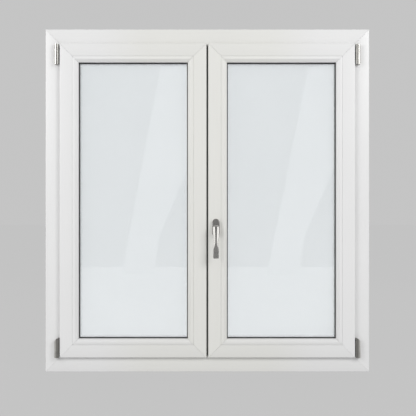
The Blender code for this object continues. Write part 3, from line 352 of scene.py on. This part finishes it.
# white_profile_low is a lighter copy, painted light that offsets the shade falling on the sill under the
# leaves; the top beads share it, and white_profile_low_bead is a darker copy for the bottom beads
WHITE_LOW = profile_material("white_profile_low", (0.85, 0.85, 0.848, 1),
                             (0.83, 0.828, 0.798, 1), LEVEL)
WHITE_LOW_BEAD = profile_material("white_profile_low_bead", (0.80, 0.80, 0.798, 1),
                                  (0.79, 0.788, 0.77, 1), LEVEL)
RUBBER = rubber_material()
NICKEL = metal_material("satin_nickel_brushed", (0.56, 0.55, 0.53, 1), (0.42, 0.41, 0.39, 1),
                        (1.0, 1.0, 0.03), 0.26)
NICKEL_TURNED = metal_material("satin_nickel_turned", (0.56, 0.55, 0.53, 1), (0.42, 0.41, 0.39, 1),
                               (0.05, 0.05, 1.0), 0.28)
# the hinge finish carries painted shade on its half towards the window's middle
HINGE_X = sum(corner.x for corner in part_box("upper_pin_right")) / 2
NICKEL_HINGE_PAINTED_SHADE = hinge_painted_shade_material("satin_nickel_hinge_painted_shade", (0.26, 0.255, 0.24, 1), (0.60, 0.59, 0.56, 1),
                              0.28, HINGE_X)
ZINC = crystal_material("zinc_steel_spangle", (0.62, 0.63, 0.64, 1), (0.42, 0.44, 0.46, 1), 300.0, 0.34)
CAST = crystal_material("die_cast_grain", (0.45, 0.45, 0.44, 1), (0.33, 0.33, 0.33, 1), 900.0, 0.5)
SPACER = metal_material("spacer_alloy_drawn", (0.7, 0.71, 0.72, 1), (0.5, 0.51, 0.52, 1),
                        (1.0, 1.0, 1.0), 0.38)
GLASS = glass_material()


# ---------------------------------------------------------------- building forms
def body_name(node):
    """The body that a CAD node rides on."""
    return bpy.data.objects[node]["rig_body"]


def cad_form(node):
    """A clean form of a CAD node, its split corners welded and its flat faces made whole."""
    form = bmesh.new()
    form.from_mesh(bpy.data.objects[node].data)
    bmesh.ops.remove_doubles(form, verts=form.verts, dist=WELD)
    bmesh.ops.dissolve_limit(form, angle_limit=FLAT_ANGLE, verts=form.verts, edges=form.edges)
    return form


def placed(name, form, material, body, ease=0.0, segments=2, sharp=SHARP_ANGLE):
    """A finished piece from a form: shaded by angle, its sharp edges eased, carried by a body."""
    bmesh.ops.recalc_face_normals(form, faces=form.faces)
    mesh = bpy.data.meshes.new(name)
    form.to_mesh(mesh)
    form.free()
    mesh.shade_smooth()
    mesh.set_sharp_from_angle(angle=sharp)
    piece = bpy.data.objects.new(name, mesh)
    bpy.context.scene.collection.objects.link(piece)
    mesh.materials.append(material)
    if ease:
        bevel = piece.modifiers.new("eased_edges", "BEVEL")
        bevel.width = ease
        bevel.segments = segments
        bevel.limit_method = "ANGLE"
        bevel.angle_limit = sharp
        bevel.harden_normals = True
        bevel.use_clamp_overlap = True
    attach(piece, body)
    return piece


def refined(node, material, ease, segments=2):
    """The CAD node's own shape with eased edges, standing for that node."""
    piece = placed(node + "_form", cad_form(node), material, body_name(node), ease, segments)
    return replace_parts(piece, node)


def lathe(form, profile, origin, axis, steps):
    """A closed turned form about an axis; profile points are (along, radius), end to end."""
    axis = Vector(axis).normalized()
    first = axis.orthogonal().normalized()
    second = axis.cross(first)
    origin = Vector(origin)
    rings = []
    for along, radius in profile:
        ring = []
        for step in range(steps):
            turn = 2 * math.pi * step / steps
            spoke = first * math.cos(turn) + second * math.sin(turn)
            ring.append(form.verts.new(origin + axis * along + spoke * radius))
        rings.append(ring)
    close(form, rings)


def close(form, rings):
    """Faces between successive rings, and over the first and the last."""
    for low, high in zip(rings, rings[1:]):
        for step in range(len(low)):
            following = (step + 1) % len(low)
            form.faces.new((low[step], low[following], high[following], high[step]))
    form.faces.new(tuple(reversed(rings[0])))
    form.faces.new(tuple(rings[-1]))


SCREW_STEPS = 24
SCREW_DEPTH = 0.0006
STRAP_INSET = 0.0172
STRAP_HALF_WIDTH = 0.009
BEAD_EASE = 0.0011


def screw_head(form, centre, axis, radius, turn):
    """A countersunk head with an eased rim and a cross recess; axis points out of the surface."""
    axis = Vector(axis).normalized()
    first = axis.orthogonal().normalized()
    second = axis.cross(first)
    rings = []
    # height above the surface, share of the radius, and whether the ring follows the cross
    levels = ((-SCREW_DEPTH, 1.0, False), (0.00005, 1.0, False), (0.00018, 0.9, False),
              (0.0002, 0.62, True), (-0.0003, 0.54, True), (-SCREW_DEPTH * 0.9, 0.3, True))
    for height, share, crossed in levels:
        ring = []
        for step in range(SCREW_STEPS):
            angle = 2 * math.pi * step / SCREW_STEPS
            reach = radius * share
            if crossed:
                arm = abs(math.cos(2 * angle)) ** 3
                reach *= 0.42 + 0.58 * arm
            spoke = first * math.cos(angle + turn) + second * math.sin(angle + turn)
            ring.append(form.verts.new(Vector(centre) + axis * height + spoke * reach))
        rings.append(ring)
    close(form, rings)


def box_middle(node):
    low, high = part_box(node)
    return (low + high) / 2


# ---------------------------------------------------------------- frame, leaves and mullion
refined("frame_head", WHITE_LEVEL, PROFILE_EASE)
# the sill's profile is painted lighter to offset the shade under the leaves
refined("frame_sill", WHITE_LOW, PROFILE_EASE)
for node in ("frame_jamb_left", "frame_jamb_right"):
    refined(node, WHITE_UPRIGHT, PROFILE_EASE)
for hand in ("left", "right"):
    refined(f"{hand}_hinge_stile", WHITE_UPRIGHT, PROFILE_EASE)
    refined(f"{hand}_meeting_stile", WHITE_UPRIGHT, PROFILE_EASE)
    for part in ("bottom_rail", "top_rail"):
        refined(f"{hand}_{part}", WHITE_LEVEL, PROFILE_EASE)
    for part in ("left", "right"):
        refined(f"{hand}_bead_{part}", WHITE_UPRIGHT, BEAD_EASE)
    refined(f"{hand}_bead_top", WHITE_LOW, BEAD_EASE)
    refined(f"{hand}_bead_bottom", WHITE_LOW_BEAD, BEAD_EASE)
    for part in ("inner_gasket", "outer_gasket", "lip_seal"):
        refined(f"{hand}_{part}", RUBBER, THIN_EASE)
    refined(f"{hand}_spacer", SPACER, THIN_EASE)
    for part in ("inner_pane", "outer_pane"):
        refined(f"{hand}_{part}", GLASS, METAL_EASE)
refined("mullion", WHITE_UPRIGHT, PROFILE_EASE)
refined("mullion_seal", RUBBER, THIN_EASE)
refined("frame_seal", RUBBER, THIN_EASE)

# ---------------------------------------------------------------- steel in the rebates
for node in ("bolt_plate_upper", "bolt_plate_lower", "upper_bolt", "lower_bolt", "lock_plate",
             "drive_rod", "cam_keeper_upper", "cam_keeper_lower", "bolt_keeper_head",
             "bolt_keeper_sill", "handle_spindle", "lock_follower"):
    refined(node, ZINC, METAL_EASE)
refined("gearbox", CAST, METAL_EASE)

# ---------------------------------------------------------------- hinges
for hand in ("left", "right"):
    for node in (f"{hand}_upper_strap", f"{hand}_lower_strap", f"upper_bearing_{hand}",
                 f"lower_bearing_{hand}", f"upper_pin_{hand}"):
        refined(node, NICKEL_HINGE_PAINTED_SHADE, METAL_EASE, 3)


# ---------------------------------------------------------------- screws and small closing details
STEEL_SCREW = 0.0030
NICKEL_SCREW = 0.0034
KEEPER_PLATE = 0.0016        # the keeper's plate, under its hook
KEEPER_SCREW_SINK = 0.0002
KEEPER_SCREW_END = 0.0065    # from the keeper's end to a screw's middle
LOCK_SCREWS, LOCK_SCREW_END = 8, 0.030
BOLT_SCREWS, BOLT_SCREW_END = 2, 0.012
UPPER_STRAP_SCREWS = (0.030, 0.090, 0.150, 0.210, 0.248)
LOWER_STRAP_SCREWS = (0.030, 0.072, 0.110)


def screws(name, places, axis, radius, material, body):
    """A row of countersunk heads as one piece."""
    form = bmesh.new()
    for place in places:
        screw_head(form, place, axis, radius, rng.uniform(0, math.pi))
    return placed(name, form, material, body)


def plate_places(node, face_x, count, end_space):
    """Evenly spaced places up the middle of an upright plate's face."""
    low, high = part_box(node)
    middle = (low + high) / 2
    step = (high.z - low.z - 2 * end_space) / (count - 1)
    return [(face_x, middle.y, low.z + end_space + step * i) for i in range(count)]


lock_edge_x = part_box("lock_plate")[0].x
screws("lock_plate_screws", plate_places("lock_plate", lock_edge_x, LOCK_SCREWS, LOCK_SCREW_END),
       (-1, 0, 0), STEEL_SCREW, ZINC, "right_leaf")
for end in ("upper", "lower"):
    low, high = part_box(f"bolt_plate_{end}")
    screws(f"bolt_plate_{end}_screws",
           plate_places(f"bolt_plate_{end}", high.x, BOLT_SCREWS, BOLT_SCREW_END),
           (1, 0, 0), STEEL_SCREW, ZINC, "left_leaf")
    low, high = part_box(f"cam_keeper_{end}")
    middle = (low + high) / 2
    face_x = low.x + KEEPER_PLATE - KEEPER_SCREW_SINK
    screws(f"cam_keeper_{end}_screws",
           [(face_x, middle.y, low.z + KEEPER_SCREW_END), (face_x, middle.y, high.z - KEEPER_SCREW_END)],
           (1, 0, 0), STEEL_SCREW, ZINC, "left_leaf")
for hand, side in (("left", -1), ("right", 1)):
    for end, up, reaches in (("upper", 1, UPPER_STRAP_SCREWS), ("lower", -1, LOWER_STRAP_SCREWS)):
        low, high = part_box(f"{hand}_{end}_strap")
        outer_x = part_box(f"{hand}_hinge_stile")[1 if side > 0 else 0].x - side * STRAP_INSET
        middle_y = high.y - STRAP_HALF_WIDTH
        face_z = high.z if up > 0 else low.z
        screws(f"{hand}_{end}_strap_screws",
               [(outer_x - side * reach, middle_y, face_z) for reach in reaches], (0, 0, up),
               NICKEL_SCREW, NICKEL_TURNED, f"{hand}_leaf")


STRIP_STEPS = 6
STRIP_EDGE = 0.0001          # straight edge before the round, and the strip's seat in the face
STRIP_PROUD = 0.0009
STRIP_END_SPACE = 0.001
STRIP_SHARE = 0.62           # share of the gap that the strip fills


def rounded_strip(form, x0, x1, back_y, front_y, low, high):
    """An upright strip with a rounded room face."""
    rings = []
    for z in (low, high):
        ring = [form.verts.new((x1, back_y, z)), form.verts.new((x0, back_y, z))]
        for step in range(STRIP_STEPS + 1):
            turn = math.pi * step / STRIP_STEPS
            x = (x0 + x1) / 2 - (x1 - x0) / 2 * math.cos(turn)
            y = back_y - STRIP_EDGE + (front_y - back_y + STRIP_EDGE) * math.sin(turn)
            ring.append(form.verts.new((x, y, z)))
        rings.append(ring)
    close(form, rings)


# black rubber strip on the mullion's face, seen in the gap between the leaves: partly a seal, partly a
# dark sheet that paints the shade in the gap
mullion_low, mullion_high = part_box("mullion")
gap_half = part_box("right_meeting_stile")[0].x * STRIP_SHARE
strip = bmesh.new()
rounded_strip(strip, -gap_half, gap_half, mullion_low.y + STRIP_EDGE, mullion_low.y - STRIP_PROUD,
              mullion_low.z + STRIP_END_SPACE, mullion_high.z - STRIP_END_SPACE)
placed("mullion_gap_seal_and_painted_shade", strip, RUBBER, "left_leaf")

# ---------------------------------------------------------------- handle
LEVER_LOW, LEVER_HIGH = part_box("handle_lever")
ROSETTE_LOW, ROSETTE_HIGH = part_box("handle_rosette")
HANDLE_X = (LEVER_LOW.x + LEVER_HIGH.x) / 2
HANDLE_Z = (ROSETTE_LOW.z + ROSETTE_HIGH.z) / 2
LEVER_FRONT = LEVER_LOW.y + 0.0002
LEVER_BACK = LEVER_FRONT + 0.0112
HUB_RADIUS = LEVER_HIGH.z - HANDLE_Z - 0.0002
HUB_EYE = 0.005
CONE_FALL = 0.95
BAND_SWELL = 0.0005
BACK_EASE = 0.0022

# distance below the hub's middle, half width, half width of the front face, depth of the sloping sides
LEVER_STATIONS = (
    (0.012, 0.01180, 0.0040, 0.0064), (0.027, 0.01120, 0.0034, 0.0064),
    (0.038, 0.01000, 0.0032, 0.0060), (0.047, 0.00890, 0.0032, 0.0054),
    (0.057, 0.00800, 0.0034, 0.0046), (0.066, 0.00790, 0.0045, 0.0036),
    (0.073, 0.00860, 0.0063, 0.0026), (0.079, 0.00980, 0.0083, 0.0018),
    (0.085, 0.01085, 0.0098, 0.0014), (0.091, 0.01110, 0.0103, 0.0012),
    (0.106, 0.01115, 0.0104, 0.0011), (0.1165, 0.01115, 0.0104, 0.0011),
    (0.1200, 0.01085, 0.0094, 0.0024), (0.1210, 0.01050, 0.0086, 0.0036))
HUB_ANGLES = (3, 12, 26, 42, 60, 76, 90)  # degrees from the hub's top at which it is cut
COLLAR_STEPS = 48
LEVER_SHARP = math.radians(24)
# the collar behind the hub: distance along its axis and radius
COLLAR_PROFILE = ((0.0, 0.0104), (0.0006, 0.0110), (0.0022, 0.0110), (0.0034, 0.0098),
                  (0.0060, 0.0090), (0.0180, 0.0088), (0.0225, 0.0096), (0.0262, 0.0108),
                  (0.0285, 0.0108))


def lever_ring(form, z, half, face_half, face_y, edge_y, back_y):
    """One level section of the lever, seen from above, front face first."""
    middle_x = (half + face_half) / 2
    middle_y = (face_y + edge_y) / 2 - BAND_SWELL * min(1.0, (half - face_half) / 0.004)
    right = [(face_half, face_y), (middle_x, middle_y), (half, edge_y),
             (half, back_y - BACK_EASE * 0.8), (max(half - BACK_EASE, half * 0.5), back_y)]
    left = [(-x, y) for x, y in reversed(right)]
    return [form.verts.new((HANDLE_X + x, y, z)) for x, y in right + left]


def lever_form():
    form = bmesh.new()
    rings = []
    for angle in HUB_ANGLES:
        turn = math.radians(angle)
        rise = HUB_RADIUS * math.cos(turn)
        half = HUB_RADIUS * math.sin(turn)
        edge_y = LEVER_FRONT + (HUB_RADIUS - HUB_EYE) * CONE_FALL
        over = max(rise - HUB_EYE, 0.0)
        face_y = LEVER_FRONT + over * CONE_FALL
        face_half = math.sqrt(max(HUB_EYE ** 2 - rise ** 2, (0.12 * half) ** 2))
        rings.append(lever_ring(form, HANDLE_Z + rise, half, face_half, face_y, edge_y,
                                LEVER_BACK - BACK_EASE * (1 - math.sin(turn))))
    for drop, half, face_half, depth in LEVER_STATIONS:
        rings.append(lever_ring(form, HANDLE_Z - drop, half, face_half, LEVER_FRONT, LEVER_FRONT + depth,
                                LEVER_BACK))
    close(form, rings)
    lathe(form, COLLAR_PROFILE, (HANDLE_X, LEVER_HIGH.y - 0.0001, HANDLE_Z), (0, -1, 0), COLLAR_STEPS)
    return form


ROSETTE_RIM = 0.0022
RIM_INSET_SHARE = 0.7
RIM_ANGLES = (20, 40, 60, 78, 90)
ROSETTE_END_STEPS = 16


def rosette_form():
    """Oval plate with a rounded rim."""
    form = bmesh.new()
    half = (ROSETTE_HIGH.x - ROSETTE_LOW.x) / 2
    straight = (ROSETTE_HIGH.z - ROSETTE_LOW.z) / 2 - half
    front, back = ROSETTE_LOW.y, ROSETTE_HIGH.y
    outline = [(back, 0.0), (front + ROSETTE_RIM, 0.0)]
    for degrees in RIM_ANGLES:
        angle = math.radians(degrees)
        outline.append((front + ROSETTE_RIM * (1 - math.sin(angle)),
                        ROSETTE_RIM * RIM_INSET_SHARE * (1 - math.cos(angle))))
    rings = []
    for y, inset in outline:
        ring = []
        for end in (1, -1):
            for step in range(ROSETTE_END_STEPS + 1):
                turn = math.pi * step / ROSETTE_END_STEPS
                x = HANDLE_X + end * (half - inset) * math.cos(turn)
                z = HANDLE_Z + end * (straight + (half - inset) * math.sin(turn))
                ring.append(form.verts.new((x, y, z)))
        rings.append(ring)
    close(form, rings)
    return form


lever = placed("handle_lever_form", lever_form(), NICKEL, "handle", METAL_EASE,
               sharp=LEVER_SHARP)
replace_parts(lever, "handle_lever")
plate = placed("handle_rosette_form", rosette_form(), NICKEL, "right_leaf")
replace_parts(plate, "handle_rosette")


# ---------------------------------------------------------------- floor, backdrop, light and camera
BACKDROP_LEVEL = 0.556
SKY_THROUGH_GLASS = (0.955, 0.955, 0.965, 1)  # pale daylight beyond the panes
FLOOR_SHARE = 0.04
FLOOR_Z = -0.0005


def flat_material(name, level, diffuse_share=0.0):
    """A plain pale surface that glows evenly, with a little that takes a soft shadow."""
    made = bpy.data.materials.new(name)
    made.use_nodes = True
    tree = made.node_tree
    end = next(n for n in tree.nodes if n.type == "OUTPUT_MATERIAL")
    glow = put(tree, "ShaderNodeEmission", {"Color": (level, level, level, 1)})
    soft = put(tree, "ShaderNodeBsdfDiffuse", {"Color": (level, level, level, 1)})
    both = put(tree, "ShaderNodeMixShader", {0: diffuse_share, 1: glow.outputs[0], 2: soft.outputs[0]})
    tree.links.new(both.outputs[0], end.inputs["Surface"])
    return made


def sheet_form(name, corners, material):
    mesh = bpy.data.meshes.new(name)
    mesh.from_pydata(corners, [], [tuple(range(len(corners)))])
    mesh.materials.append(material)
    made = bpy.data.objects.new(name, mesh)
    bpy.context.scene.collection.objects.link(made)
    return made


FLOOR_REACH = 30.0
floor = sheet_form("floor",
                   [(-FLOOR_REACH, -FLOOR_REACH, FLOOR_Z), (FLOOR_REACH, -FLOOR_REACH, FLOOR_Z),
                    (FLOOR_REACH, FLOOR_REACH, FLOOR_Z), (-FLOOR_REACH, FLOOR_REACH, FLOOR_Z)],
                   flat_material("floor_finish", BACKDROP_LEVEL, FLOOR_SHARE))
floor.visible_transmission = False

world = bpy.data.worlds.new("studio_air")
bpy.context.scene.world = world
world.use_nodes = True
air = next(n for n in world.node_tree.nodes if n.type == "BACKGROUND")
path = world.node_tree.nodes.new("ShaderNodeLightPath")
seen = mixed(world.node_tree, path.outputs["Is Transmission Ray"],
             (BACKDROP_LEVEL, BACKDROP_LEVEL, BACKDROP_LEVEL, 1), SKY_THROUGH_GLASS)
world.node_tree.links.new(seen, air.inputs[0])


def soft_lamp(name, place, target, size, power):
    data = bpy.data.lights.new(name, "AREA")
    data.shape = "RECTANGLE"
    data.size = size
    data.size_y = size
    data.energy = power
    lamp = bpy.data.objects.new(name, data)
    bpy.context.scene.collection.objects.link(lamp)
    lamp.location = place
    lamp.rotation_euler = (Vector(target) - Vector(place)).to_track_quat("-Z", "Y").to_euler()
    lamp.visible_transmission = False
    return lamp


middle = (0, ROOM_FACE, WINDOW_MIDDLE_Z)
soft_lamp("key", (2.6, -2.8, 2.4), middle, 1.4, 54)
soft_lamp("fill", (-2.8, -2.6, 1.9), middle, 1.8, 47)
behind = soft_lamp("behind", (0.5, 3.0, 2.6), middle, 2.5, 30)
behind.visible_glossy = False


def reflected_card(name, corners, level):
    """A card that only mirror-like surfaces see."""
    card = sheet_form(name, corners, flat_material(name + "_finish", level))
    card.visible_camera = False
    card.visible_diffuse = False
    card.visible_transmission = False
    card.visible_shadow = False
    card.visible_volume_scatter = False
    return card


CAMERA_DISTANCE = 3.4
CAMERA_SIDE = 0.0026
CAMERA_DROP = 0.030
CAMERA_LENS = 73.2
DARK_CARD_LEVEL = 0.12
SIDE_CARD_LEVEL = 2.0
SIDE_CARD_X = 3.2
camera_z = WINDOW_MIDDLE_Z - CAMERA_DROP
CARD_Y = -6.0
reflected_card("dark_card", [(-5.5, CARD_Y, -2.0), (5.5, CARD_Y, -2.0), (5.5, CARD_Y, 6.0),
                             (-5.5, CARD_Y, 6.0)], DARK_CARD_LEVEL)
for side in (-1, 1):
    reflected_card(f"side_card_{'left' if side < 0 else 'right'}",
                   [(side * SIDE_CARD_X, -1.7, -0.4), (side * SIDE_CARD_X, 0.5, -0.4),
                    (side * SIDE_CARD_X, 0.5, 2.6), (side * SIDE_CARD_X, -1.7, 2.6)], SIDE_CARD_LEVEL)

# slanting panels whose faint reflections cross the panes, given as they appear on the glass
PANEL_Y = -5.0
PANEL_LEVEL = 0.50
SLANTS = {"panel_left": ((-0.190, 1.228), (-0.060, 1.228), (-0.060, 0.860), (-0.194, 0.545),
                         (-0.251, 0.143), (-0.391, 0.143)),
          "panel_right": ((0.409, 1.228), (0.530, 1.228), (0.530, 0.860), (0.393, 0.545),
                          (0.332, 0.143), (0.192, 0.143))}
GLASS_Y = box_middle("left_inner_pane").y
glass_distance = CAMERA_DISTANCE - ROOM_FACE + GLASS_Y
spread = (glass_distance + GLASS_Y - PANEL_Y) / glass_distance
for name, points in SLANTS.items():
    corners = [(CAMERA_SIDE + (x - CAMERA_SIDE) * spread, PANEL_Y, camera_z + (z - camera_z) * spread)
               for x, z in points]
    reflected_card(name, corners, PANEL_LEVEL)

camera_data = bpy.data.cameras.new("camera")
camera = bpy.data.objects.new("camera", camera_data)
bpy.context.scene.collection.objects.link(camera)
camera.location = (CAMERA_SIDE, ROOM_FACE - CAMERA_DISTANCE, camera_z)
camera.rotation_euler = (math.radians(90), 0, 0)
camera_data.sensor_width = 36.0
camera_data.lens = CAMERA_LENS
camera_data.clip_start, camera_data.clip_end = 0.05, 100.0
bpy.context.scene.camera = camera
bpy.context.scene.view_settings.view_transform = "Standard"
